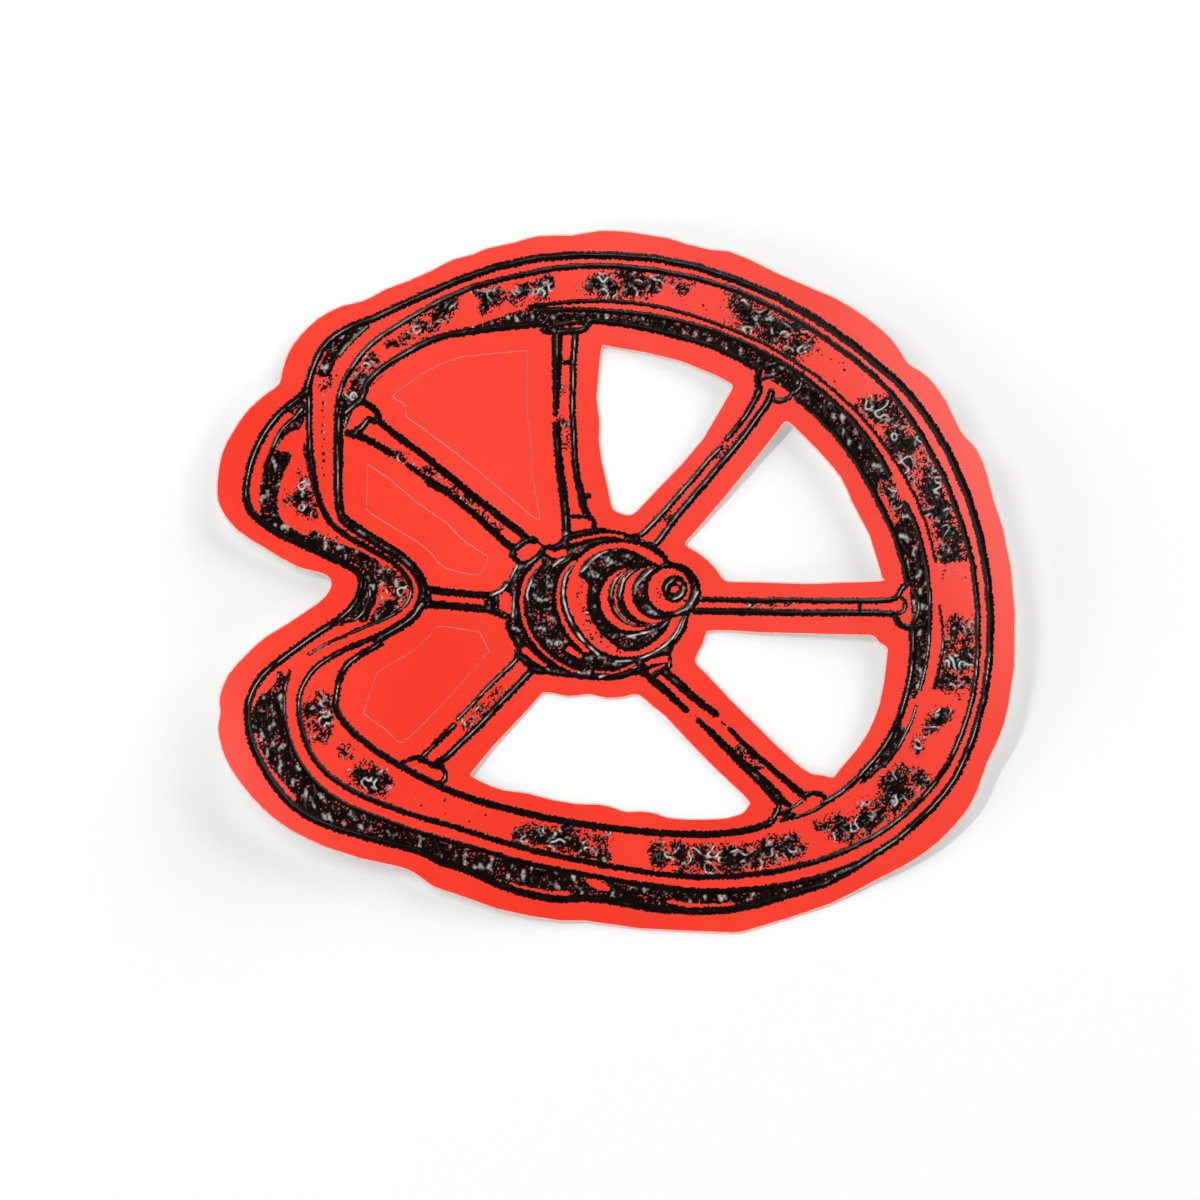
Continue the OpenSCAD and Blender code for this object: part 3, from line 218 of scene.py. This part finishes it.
def layer_piece(name, node, low, high, bevel, materials):
    """A CAD sheet layer as a smooth bent sheet from level low to high, with eased upper edges.

    An edge that the liner has too is cut through both, and its edge faces are coloured pale pink, a
    painted highlight along the cut edge; any other is a kiss cut, which stays sharp and red."""
    loops = [thinned(loop) for loop in top_loops(node)]
    through = segments_of(top_loops("release_liner"))
    cut_through = [touched(through, loop[0]) for loop in loops]
    loops = [loop if cut else inset(loop, -KISS_CLOSING) for loop, cut in zip(loops, cut_through)]
    tops = [inset(loop, bevel if cut else bevel / 6) for loop, cut in zip(loops, cut_through)]
    tops = [top.astype(np.float32).astype(float) for top in tops]   # as the filled faces round them
    flat, faces = filled(tops, LATTICE)
    vertices = []
    triangles = []
    kinds = []

    def lay(points, level):
        first = len(vertices)
        z = bend_height(points[:, 0], points[:, 1], level)
        vertices.extend(np.column_stack([points, z]).tolist())
        return first

    for level, order in ((high, 1), (low, -1)):
        first = lay(flat, level)
        for face in faces:
            triangles.append([first + v for v in face[::order]])
            kinds.append(0)
    for loop, top, cut in zip(loops, tops, cut_through):
        middle = (loop + top) / 2 + (loop - top) * 0.2
        drop = bevel * 0.6 if cut else bevel / 6
        rows = [lay(top, high), lay(middle, high - drop * 0.3), lay(loop, high - drop),
                lay(loop, low + bevel * 0.5), lay(top, low)]
        count = len(loop)
        for upper, lower in zip(rows, rows[1:]):
            for i in range(count):
                j = (i + 1) % count
                triangles.append([upper + i, lower + i, lower + j, upper + j])
                kinds.append(1 if cut else 0)
    piece = make_mesh(name, vertices, triangles, materials, kinds, math.radians(50))
    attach(piece, "root")
    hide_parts(node)
    return piece


# ---- fields on a grid ----
def crossings(loops, xs, ys):
    """Whether each grid point lies inside the loops, by the even-odd rule along each row."""
    toggles = np.zeros((len(ys), len(xs) + 1), int)
    step_x, step_y = xs[1] - xs[0], ys[1] - ys[0]
    for loop in loops:
        for (ax, ay), (bx, by) in zip(loop, np.roll(loop, -1, 0)):
            if ay == by:
                continue
            if ay > by:
                ax, ay, bx, by = bx, by, ax, ay
            first = max(math.ceil((ay - ys[0]) / step_y), 0)
            last = min(math.ceil((by - ys[0]) / step_y), len(ys))
            rows = np.arange(first, last)
            if len(rows):
                cut = ax + (ys[rows] - ay) * (bx - ax) / (by - ay)
                columns = np.clip(np.ceil((cut - xs[0]) / step_x), 0, len(xs)).astype(int)
                toggles[rows, columns] ^= 1
    return np.cumsum(toggles, 1)[:, :-1] % 2 == 1


def nearest(segments, xs, ys, reach):
    """Distance from each grid point to the nearest segment, up to `reach`."""
    away = np.full((len(ys), len(xs)), float(reach))
    step_x, step_y = xs[1] - xs[0], ys[1] - ys[0]
    for ax, ay, bx, by in segments:
        i0 = max(int((min(ax, bx) - reach - xs[0]) / step_x), 0)
        i1 = min(int((max(ax, bx) + reach - xs[0]) / step_x) + 2, len(xs))
        j0 = max(int((min(ay, by) - reach - ys[0]) / step_y), 0)
        j1 = min(int((max(ay, by) + reach - ys[0]) / step_y) + 2, len(ys))
        if i0 >= i1 or j0 >= j1:
            continue
        px, py = xs[None, i0:i1] - ax, ys[j0:j1, None] - ay
        dx, dy = bx - ax, by - ay
        t = np.clip((px * dx + py * dy) / max(dx * dx + dy * dy, 1e-9), 0, 1)
        away[j0:j1, i0:i1] = np.minimum(away[j0:j1, i0:i1], np.hypot(px - t * dx, py - t * dy))
    return away


def touched(segments, point, reach=0.05):
    """Whether any segment passes within reach of the point."""
    start, run = segments[:, :2], segments[:, 2:] - segments[:, :2]
    along = np.sum((point - start) * run, 1) / np.maximum(np.sum(run * run, 1), 1e-9)
    nearest_points = start + np.clip(along, 0, 1)[:, None] * run
    return bool(np.any(np.linalg.norm(nearest_points - point, axis=1) < reach))


def segments_of(loops):
    return np.concatenate([np.hstack([loop, np.roll(loop, -1, 0)]) for loop in loops])


def inside_and_distance(loops, grid_x, grid_y, reach):
    xs, ys = grid_x[0], grid_y[:, 0]
    return crossings(loops, xs, ys), nearest(segments_of(loops), xs, ys, reach)


def noise(x, y, size, seed, stretch=(1, 1)):
    """Smooth gradient noise, about -1 to 1, whose features are about `size` across."""
    rng = np.random.default_rng(seed)
    table = rng.uniform(0, 2 * math.pi, (256, 256))
    u = x / (size * stretch[0]) + 300
    v = y / (size * stretch[1]) + 300
    iu, iv = np.floor(u).astype(int), np.floor(v).astype(int)
    fu, fv = u - iu, v - iv
    su, sv = fu ** 3 * (fu * (fu * 6 - 15) + 10), fv ** 3 * (fv * (fv * 6 - 15) + 10)

    def corner(k, m):
        angle = table[(iv + m) % 256, (iu + k) % 256]
        return np.cos(angle) * (fu - k) + np.sin(angle) * (fv - m)

    low = corner(0, 0) * (1 - su) + corner(1, 0) * su
    high = corner(0, 1) * (1 - su) + corner(1, 1) * su
    return (low * (1 - sv) + high * sv) * 1.5


def smooth(value, low, high):
    """0 below low, 1 above high, and an even S between them."""
    t = np.clip((value - low) / (high - low), 0, 1)
    return t * t * (3 - 2 * t)


class Print:
    """The printed drawing on a grid: which node lies where, and how deep inside it is."""

    def __init__(self):
        boxes = [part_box(node) for node in PRINT_NODES]
        low = [min(box[0][k] for box in boxes) / MM - 1.5 for k in range(2)]
        high = [max(box[1][k] for box in boxes) / MM + 1.5 for k in range(2)]
        self.xs = np.arange(low[0], high[0], PITCH)
        self.ys = np.arange(low[1], high[1], PITCH)
        self.x, self.y = np.meshgrid(self.xs, self.ys)
        self.loops = {node: top_loops(node) for node in PRINT_NODES}
        self.inside = {n: crossings(self.loops[n], self.xs, self.ys) for n in PRINT_NODES}
        self.depth = {
            "strokes": self.signed(STROKES, 1.2),
            "black": self.signed(STROKES + WALLS, 1.2),
            "walls": self.signed(WALLS, 1.2),
            "grime": self.signed(GRIME, 2.0),
        }

    def signed(self, nodes, reach):
        """Depth inside the joined fields of these nodes, below 0 outside them."""
        kept, hidden = [], []
        for node in nodes:
            others = [m for m in nodes if m != node]
            for loop in self.loops[node]:
                ends = np.roll(loop, -1, 0)
                run = ends - loop
                side = np.stack([run[:, 1], -run[:, 0]], 1)
                side /= np.maximum(np.linalg.norm(side, axis=1), 1e-6)[:, None]
                probe = (loop + ends) / 2 + side * 0.06
                covered = np.zeros(len(loop), bool)
                for other in others:
                    covered |= self.sample(self.inside[other], probe)
                segments = np.hstack([loop, ends])
                kept.append(segments[~covered])
                hidden.append(segments[covered])
        away = nearest(np.concatenate(kept), self.xs, self.ys, reach)
        inside = np.any([self.inside[node] for node in nodes], 0)
        hidden = np.concatenate(hidden)
        if len(hidden):
            inside |= nearest(hidden, self.xs, self.ys, 0.1) < 0.02
        return np.where(inside, away, -away)

    def sample(self, field, points):
        """The field's value at the grid point nearest to each of the points."""
        spots = []
        for k, line in enumerate((self.xs, self.ys)):
            spot = np.round((points[:, k] - line[0]) / PITCH).astype(int)
            spots.append(np.clip(spot, 0, len(line) - 1))
        return field[spots[1], spots[0]]


def blurred(field, width):
    """The field smoothed by a bell curve of that width in millimetres."""
    steps = int(math.ceil(3 * width / PITCH))
    weights = np.exp(-0.5 * (np.arange(-steps, steps + 1) * PITCH / width) ** 2)
    weights /= weights.sum()
    for axis in (0, 1):
        field = sum(w * np.roll(field, k - steps, axis) for k, w in enumerate(weights))
    return field


def toothed(x, y):
    """The fine ragged bite of every ink edge, in millimetres."""
    return 0.19 * noise(x, y, 0.3, 11) + 0.05 * noise(x, y, 0.9, 12)


def specks():
    """Middle and radius of each loose speck and dot."""
    rng = np.random.default_rng(61)
    spots = []
    for x0, x1, y0, y1, count in LOOSE:
        for _ in range(count):
            spots.append((rng.uniform(x0, x1), rng.uniform(y0, y1), rng.uniform(0.08, 0.2)))
    across, first, last, pitch = DOT_RUN
    for k in range(int((first - last) / pitch) + 1):
        sway, swell = 0.12 * math.sin(2.4 * k), 0.07 * math.sin(1.7 * k)
        spots.append((across + sway, first - pitch * k, 0.2 + swell))
    return spots


def speck_cover(p):
    """How deep each grid point lies inside a loose speck, below 0 outside them all."""
    cover = np.full(p.x.shape, -1.0)
    for x, y, radius in specks():
        i, j = int((x - p.xs[0]) / PITCH), int((y - p.ys[0]) / PITCH)
        part = (slice(j - 5, j + 7), slice(i - 5, i + 7))
        away = np.hypot(p.x[part] - x, p.y[part] - y)
        cover[part] = np.maximum(cover[part], radius - away)
    return cover


def rounded(run):
    """The run with its corners cut twice, its ends kept."""
    run = np.array(run, float)
    for _ in range(2):
        cuts = np.stack([0.75 * run[:-1] + 0.25 * run[1:], 0.25 * run[:-1] + 0.75 * run[1:]], 1)
        run = np.vstack([run[:1], cuts.reshape(-1, 2), run[-1:]])
    return run


def ridge_distance(p):
    """Distance to the hub's raised ridges, a little uneven."""
    runs = [rounded(run) for run in HUB_RIDGES]
    segments = np.concatenate([np.hstack([run[:-1], run[1:]]) for run in runs])
    return nearest(segments, p.xs, p.ys, 0.6) + 0.07 * noise(p.x, p.y, 0.8, 15)


def stroke_field(p):
    """Solid strokes with a ragged edge, level on top but for a bead along their middle."""
    x, y = p.x, p.y
    depth = p.depth["strokes"]
    crease = (depth - blurred(depth, 0.22)).clip(0)
    lumps = smooth(noise(x, y, 1.3, 13, (1.3, 0.7)) + 0.1 * noise(x, y, 0.45, 14), 0, 0.9)
    ridges = blurred(0.26 * (0.27 - ridge_distance(p)).clip(0), 0.05)
    height = 0.04 + 0.3 * crease + ridges + 0.07 * lumps * smooth(depth, 0.4, 0.7)
    grain = noise(x, y, 0.24, 16) + 0.3 * noise(x, y, 0.55, 17) + 0.55 * noise(x, y, 1.8, 18)
    bare = np.where(depth > 0.58, (0.6 - grain) * 0.5, 1)
    height = height * smooth(bare, -0.05, 0.3)
    return np.minimum(depth + toothed(x, y) + 0.04, bare), height


def wall_field(p):
    """Dark walls: almost solid, with tiny bare specks and soft lumps."""
    x, y = p.x, p.y
    grain = noise(x, y, 0.24, 21) + 0.3 * noise(x, y, 0.55, 27) + 0.3 * noise(x, y, 1.6, 22)
    depth = p.depth["black"]
    cover = np.minimum(depth + toothed(x, y), (0.64 - grain) * 0.5)
    lumps = smooth(noise(x, y, 1.2, 24, (0.8, 1.25)) + 0.08 * noise(x, y, 0.4, 25), 0, 0.8)
    height = 0.03 + 0.075 * lumps
    return np.where(p.depth["walls"] > -0.12, cover, -1), height * smooth(cover, -0.02, 0.08)


def grime_field(p):
    """Grime on the rim: crusts with bare specks in the middle of a field, crumbs round it."""
    x, y = p.x, p.y
    depth = p.depth["grime"]
    crumbs = 0.85 * noise(x, y, 0.24, 31) + 0.5 * noise(x, y, 0.48, 32) + 0.4 * noise(x, y, 1.2, 37)
    drift = 0.6 * noise(x, y, 2.6, 33)
    drive = np.interp(depth, [-1.9, -1.2, -0.5, 0.0, 0.5, 1.3],
                      [-2.4, -1.15, -0.6, -0.02, 0.35, 0.55])
    cover = (crumbs + drive + drift) * 0.2
    worms = 1 - np.abs(noise(x, y, 1.0, 34) + 0.2 * noise(x, y, 0.4, 38))
    lumps = smooth(noise(x, y, 1.2, 35) + 0.08 * noise(x, y, 0.35, 39), 0.05, 0.8)
    height = 0.025 + 0.075 * lumps + 0.035 * smooth(worms, 0.65, 1.0)
    return cover, height * smooth(cover, -0.02, 0.1)


def painted_highlight_marks(p, wall, grime):
    """Painted highlights on the ink, 0 to 1: pale lines along strokes that face the light at the
    upper left, and pale marks on the hub's ridges and on lumps.
    """
    x, y = p.x, p.y
    depth = p.depth["strokes"]
    gy, gx = np.gradient(blurred(depth, 0.08), PITCH)
    xx, yy, xy = (blurred(v, 0.3) for v in (gx * gx, gy * gy, gx * gy))
    # How squarely each stroke's cross direction faces the light at the upper left: strokes that
    # face it get a painted highlight line
    facing = (0.5 * (xx - yy) - 1.73 * xy) / np.maximum(xx + yy, 1e-6)
    middle = (depth - blurred(depth, 0.15)).clip(0) / 0.12
    patches = smooth(noise(x, y, 3.0, 51) + 0.4 * noise(x, y, 0.9, 52), -0.45, 0.2)
    # Painted highlight: a thin pale line down the middle of strokes that face the light
    line = smooth(middle, 0.6, 0.95) * smooth(facing, 0.15, 0.75) * patches * (depth < 0.75)
    # Painted highlights along the hub's raised ridges
    ridges = smooth(0.14 - ridge_distance(p), 0, 0.11) * smooth(depth, 0.05, 0.25)
    ridges = ridges * smooth(noise(x, y, 1.7, 53), -0.6, 0.1)
    # Painted highlights on the soft lumps of the wide black parts
    swells = smooth(noise(x, y, 1.3, 13, (1.4, 0.7)) + 0.6 * noise(x, y, 0.4, 14), 0.2, 0.95)
    swells = 0.55 * swells * smooth(depth, 0.4, 0.8)
    strokes = np.maximum(line, np.maximum(0.8 * ridges, swells))
    # Painted highlights on the lumps of the dark walls
    lumps = 0.6 * smooth(noise(x, y, 1.0, 24, (0.8, 1.25)) + 0.35 * noise(x, y, 0.4, 25), 0.22, 0.9)
    # Painted highlights on the grime: pale curls and knobs over its crust
    curls = smooth(1 - 1.6 * np.abs(noise(x, y, 1.3, 34)), 0.72, 0.95)
    curls = curls * smooth(noise(x, y, 2.2, 41), 0.0, 0.3)
    knobs = 0.5 * smooth(noise(x, y, 0.9, 35) + 0.4 * noise(x, y, 0.35, 39), 0.35, 0.85)
    crust = np.maximum(0.85 * curls, knobs) * smooth(grime, 0.0, 0.06)
    rest = np.where(wall > grime, lumps * smooth(wall, 0.05, 0.15), crust)
    return np.where(depth > -0.02, strokes, rest)


def ink_mesh(p, cover, height, painted_highlight, label, name, material, columns):
    """The ink over the grid cells that carry this label, within a range of columns.

    Each cell is two triangles. One that the ink's edge crosses is cut there, so the rim of
    the ink follows the place where cover is 0."""
    rows_n, cols_n = cover.shape
    index = np.arange(rows_n * cols_n).reshape(rows_n, cols_n)
    wanted = np.zeros((rows_n - 1, cols_n - 1), bool)
    wanted[:, columns[0]:columns[1]] = label[:-1, :-1][:, columns[0]:columns[1]]
    j, i = np.nonzero(wanted)
    a, b, c, d = index[j, i], index[j, i + 1], index[j + 1, i + 1], index[j + 1, i]
    corners = np.concatenate([np.stack([a, b, c], 1), np.stack([a, c, d], 1)])
    value = cover.reshape(-1)
    within = value[corners] > 0
    count = within.sum(1)
    for spot in (1, 2):
        odd = within if spot == 1 else ~within
        turn = np.where(count == spot, np.argmax(odd, 1), 0)
        corners = np.take_along_axis(corners, (turn[:, None] + np.arange(3)) % 3, 1)
        within = value[corners] > 0
    whole = corners[count == 3]
    one, two = corners[count == 1], corners[count == 2]
    total = rows_n * cols_n

    def edge(p0, p1):
        return total + np.minimum(p0, p1) * total + np.maximum(p0, p1)

    parts = [whole]
    if len(one):
        left, right = edge(one[:, 0], one[:, 1]), edge(one[:, 0], one[:, 2])
        parts.append(np.stack([one[:, 0], left, right], 1))
    if len(two):
        left, right = edge(two[:, 0], two[:, 1]), edge(two[:, 0], two[:, 2])
        parts.append(np.stack([left, two[:, 1], two[:, 2]], 1))
        parts.append(np.stack([left, two[:, 2], right], 1))
    keys, faces = np.unique(np.concatenate(parts), return_inverse=True)
    faces = faces.reshape(-1, 3)
    flat_x, flat_y = p.x.reshape(-1), p.y.reshape(-1)
    is_edge = keys >= total
    first = np.where(is_edge, (keys - total) // total, keys)
    second = np.where(is_edge, (keys - total) % total, keys)
    v0, v1 = value[first], value[second]
    t = np.where(is_edge, np.clip(v0 / np.where(v0 == v1, 1, v0 - v1), 0.08, 0.92), 0)
    x = flat_x[first] + t * (flat_x[second] - flat_x[first])
    y = flat_y[first] + t * (flat_y[second] - flat_y[first])
    rise = np.where(is_edge, -SUNK, height.reshape(-1)[first])
    z = bend_height(x, y, FILM_TOP) + rise
    piece = make_mesh(name, np.column_stack([x, y, z]), faces.tolist(), [material])
    # Each point keeps its painted highlight value, 0 to 1, for the ink's material
    tone = piece.data.attributes.new("painted_highlight", "FLOAT", "POINT")
    values = np.where(is_edge, 0, painted_highlight.reshape(-1)[first])
    tone.data.foreach_set("value", values.astype(np.float32))
    return piece


# ---- materials ----
def node_material(name):
    material = bpy.data.materials.new(name)
    material.use_nodes = True
    nodes, links = material.node_tree.nodes, material.node_tree.links
    shader = nodes["Principled BSDF"]
    place = nodes.new("ShaderNodeTexCoord")
    return material, nodes, links, shader, place


def noise_node(nodes, links, place, scale, detail=3.0):
    texture = nodes.new("ShaderNodeTexNoise")
    texture.inputs["Scale"].default_value = scale
    texture.inputs["Detail"].default_value = detail
    links.new(place.outputs["Object"], texture.inputs["Vector"])
    return texture


def ramp_node(nodes, links, source, low, high, at=(0.35, 0.65)):
    ramp = nodes.new("ShaderNodeValToRGB")
    ramp.color_ramp.elements[0].position, ramp.color_ramp.elements[1].position = at
    ramp.color_ramp.elements[0].color = (*low, 1)
    ramp.color_ramp.elements[1].color = (*high, 1)
    links.new(source, ramp.inputs["Fac"])
    return ramp


def add_bump(nodes, links, shader, source, strength, distance):
    bump = nodes.new("ShaderNodeBump")
    bump.inputs["Strength"].default_value = strength
    bump.inputs["Distance"].default_value = distance
    links.new(source, bump.inputs["Height"])
    links.new(bump.outputs["Normal"], shader.inputs["Normal"])


def rough_range(nodes, links, shader, source, low, high):
    span = nodes.new("ShaderNodeMapRange")
    span.inputs["To Min"].default_value = low
    span.inputs["To Max"].default_value = high
    links.new(source, span.inputs["Value"])
    links.new(span.outputs["Result"], shader.inputs["Roughness"])


def linear(red, green, blue):
    """sRGB 0-255 to the linear values that shaders take."""
    def one(value):
        value /= 255
        return value / 12.92 if value < 0.04045 else ((value + 0.055) / 1.055) ** 2.4
    return tuple(one(v) for v in (red, green, blue))


def add_mottle(nodes, links, shader, texture, low, high):
    """Colour the shader between two sRGB colours, by the texture."""
    colour = ramp_node(nodes, links, texture.outputs["Fac"], linear(*low), linear(*high))
    links.new(colour.outputs["Color"], shader.inputs["Base Color"])


def red_vinyl():
    material, nodes, links, shader, place = node_material("red_vinyl")
    mottle = noise_node(nodes, links, place, 60, 4)
    add_mottle(nodes, links, shader, mottle, (248, 50, 27), (252, 55, 31))
    fine = noise_node(nodes, links, place, 2500, 2)
    add_bump(nodes, links, shader, fine.outputs["Fac"], 0.05, 0.0001)
    rough_range(nodes, links, shader, mottle.outputs["Fac"], 0.26, 0.31)
    shader.inputs["Specular IOR Level"].default_value = 1.0
    return material


def pale_edge_painted_highlight():
    material, nodes, links, shader, place = node_material("pale_edge_painted_highlight")
    fray = noise_node(nodes, links, place, 1500, 3)
    # Pale pink on the cut-through edges: a painted highlight along the cut edge
    add_mottle(nodes, links, shader, fray, (255, 168, 156), (255, 205, 196))
    rough_range(nodes, links, shader, fray.outputs["Fac"], 0.45, 0.6)
    return material


def liner_paper():
    material, nodes, links, shader, place = node_material("liner_paper")
    fibre = noise_node(nodes, links, place, 900, 8)
    add_mottle(nodes, links, shader, fibre, (236, 233, 228), (246, 244, 240))
    add_bump(nodes, links, shader, fibre.outputs["Fac"], 0.15, 0.0001)
    rough_range(nodes, links, shader, fibre.outputs["Fac"], 0.55, 0.7)
    return material


def black_ink():
    material, nodes, links, shader, place = node_material("black_ink")
    tone = noise_node(nodes, links, place, 700, 3)
    colour = ramp_node(nodes, links, tone.outputs["Fac"], linear(13, 7, 5), linear(24, 12, 9))
    # The value stored on the mesh, 0 to 1, turns the ink from black to its pale painted highlights
    painted_highlight = nodes.new("ShaderNodeAttribute")
    painted_highlight.attribute_name = "painted_highlight"
    mixed = nodes.new("ShaderNodeMix")
    mixed.data_type = "RGBA"
    links.new(painted_highlight.outputs["Fac"], mixed.inputs[0])
    links.new(colour.outputs["Color"], mixed.inputs[6])
    # The pale colour of the painted highlights
    mixed.inputs[7].default_value = (*linear(226, 223, 219), 1)
    links.new(mixed.outputs[2], shader.inputs["Base Color"])
    fine = noise_node(nodes, links, place, 6000, 2)
    add_bump(nodes, links, shader, fine.outputs["Fac"], 0.12, 0.00005)
    rough_range(nodes, links, shader, tone.outputs["Fac"], 0.12, 0.24)
    shader.inputs["Specular IOR Level"].default_value = 0.16
    return material


def floor_material():
    """White table: plain white to the camera and in reflections, with the shadows kept."""
    material, nodes, links, shader, _ = node_material("table")
    shader.inputs["Base Color"].default_value = (0.9, 0.9, 0.9, 1)
    shader.inputs["Roughness"].default_value = 0.9
    shader.inputs["Specular IOR Level"].default_value = 0.0
    rays = nodes.new("ShaderNodeLightPath")
    seen = rays.outputs["Is Camera Ray"]
    for other in ("Is Glossy Ray", "Is Transmission Ray"):
        either = nodes.new("ShaderNodeMath")
        either.operation = "MAXIMUM"
        links.new(seen, either.inputs[0])
        links.new(rays.outputs[other], either.inputs[1])
        seen = either.outputs["Value"]
    lift = nodes.new("ShaderNodeMath")
    lift.operation = "MULTIPLY"
    lift.inputs[1].default_value = 0.06
    links.new(seen, lift.inputs[0])
    shader.inputs["Emission Color"].default_value = (1, 1, 1, 1)
    links.new(lift.outputs["Value"], shader.inputs["Emission Strength"])
    return material


# ---- stage ----
def add_floor():
    bpy.ops.mesh.primitive_plane_add(size=6, location=(0, 0, -0.00002))
    floor = bpy.context.object
    floor.name = "table"
    floor.data.materials.append(floor_material())


def add_panel(name, azimuth, zenith, distance, size, watts):
    """A soft box that faces the origin; azimuth counts from +X towards +Y, zenith from +Z."""
    a, z = math.radians(azimuth), math.radians(zenith)
    light = bpy.data.lights.new(name, "AREA")
    light.shape = "RECTANGLE"
    light.size, light.size_y = size
    light.energy = watts
    lamp = bpy.data.objects.new(name, light)
    towards = Vector((math.cos(a) * math.sin(z), math.sin(a) * math.sin(z), math.cos(z)))
    lamp.location = distance * towards
    lamp.rotation_euler = (-lamp.location).to_track_quat("-Z", "Y").to_euler()
    bpy.context.scene.collection.objects.link(lamp)


def add_world(level):
    world = bpy.data.worlds.new("studio")
    world.use_nodes = True
    background = world.node_tree.nodes["Background"]
    background.inputs["Color"].default_value = (1, 1, 1, 1)
    background.inputs["Strength"].default_value = level
    bpy.context.scene.world = world


def add_camera():
    """Straight above, a little off the middle, and upright."""
    data = bpy.data.cameras.new("camera")
    data.type = "ORTHO"
    data.ortho_scale = 0.150
    data.clip_start, data.clip_end = 0.01, 10
    camera = bpy.data.objects.new("camera", data)
    camera.location = (-0.002, -0.0023, 0.6)
    bpy.context.scene.collection.objects.link(camera)
    bpy.context.scene.camera = camera


def add_sheets():
    red, edge, paper = red_vinyl(), pale_edge_painted_highlight(), liner_paper()
    liner = layer_piece("liner", "release_liner", 0.0, LINER, LINER_BEVEL, [paper, paper])
    for name in ("vinyl_film", "cut_island_top_left", "cut_island_mid_left", "cut_island_low_left"):
        piece = layer_piece("smooth_" + name, name, LINER, FILM_TOP, FILM_BEVEL, [red, edge])


def add_ink():
    """The raised print, as one mesh a CAD node, or two where one would be too heavy."""
    p = Print()
    material = black_ink()
    stroke, stroke_height = stroke_field(p)
    wall, wall_height = wall_field(p)
    grime, grime_height = grime_field(p)
    grime = np.maximum(grime, speck_cover(p))
    cover = np.maximum(stroke, np.maximum(wall, grime))
    height = np.where(wall > grime, wall_height, grime_height)
    in_stroke = smooth(p.depth["strokes"], -0.08, 0.08)
    height = height * (1 - in_stroke) + stroke_height * in_stroke
    height = np.clip(height, 0.02, INK * 0.97)
    # Where the ink is painted pale as highlights, 0 to 1
    painted_highlight = painted_highlight_marks(p, wall, grime)
    # Ink past every CAD field goes to the kind that reaches furthest there
    claims = [p.inside[node] for node in PRINT_NODES]
    owner = np.argmax(claims, 0)
    loose = ~np.any(claims, 0)
    lines, shade, crust = (PRINT_NODES.index(kind[0]) for kind in (STROKES, WALLS, GRIME))
    owner[loose] = np.where(wall > grime, shade, crust)[loose]
    owner[loose & (stroke > np.maximum(wall, grime))] = lines
    for n, node in enumerate(PRINT_NODES):
        label = owner == n
        cells = (label & (cover > 0)).sum(0)
        split = max(1, math.ceil(cells.sum() * CELL_TRIANGLES / MOST_TRIANGLES))
        marks = np.searchsorted(np.cumsum(cells), np.linspace(0, cells.sum(), split + 1))
        marks[0], marks[-1] = 0, cover.shape[1] - 1
        for k in range(split):
            name = f"raised_{node}" + (f"_{k + 1}" if split > 1 else "")
            columns = (marks[k], marks[k + 1])
            piece = ink_mesh(p, cover, height, painted_highlight, label, name, material, columns)
            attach(piece, "root")
            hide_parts(node)


add_camera()
add_sheets()
add_ink()
add_floor()
add_panel("right_panel", 45, 62, 0.9, (1.1, 0.8), 8.0)
add_panel("left_panel", 185, 60, 0.9, (1.2, 0.85), 6.0)
add_panel("front_panel", 300, 64, 0.9, (1.1, 0.72), 4.0)
add_panel("key", 140, 23, 0.8, (0.3, 0.045), 1.9)
add_world(0.03)
bpy.context.scene.view_settings.view_transform = "Standard"
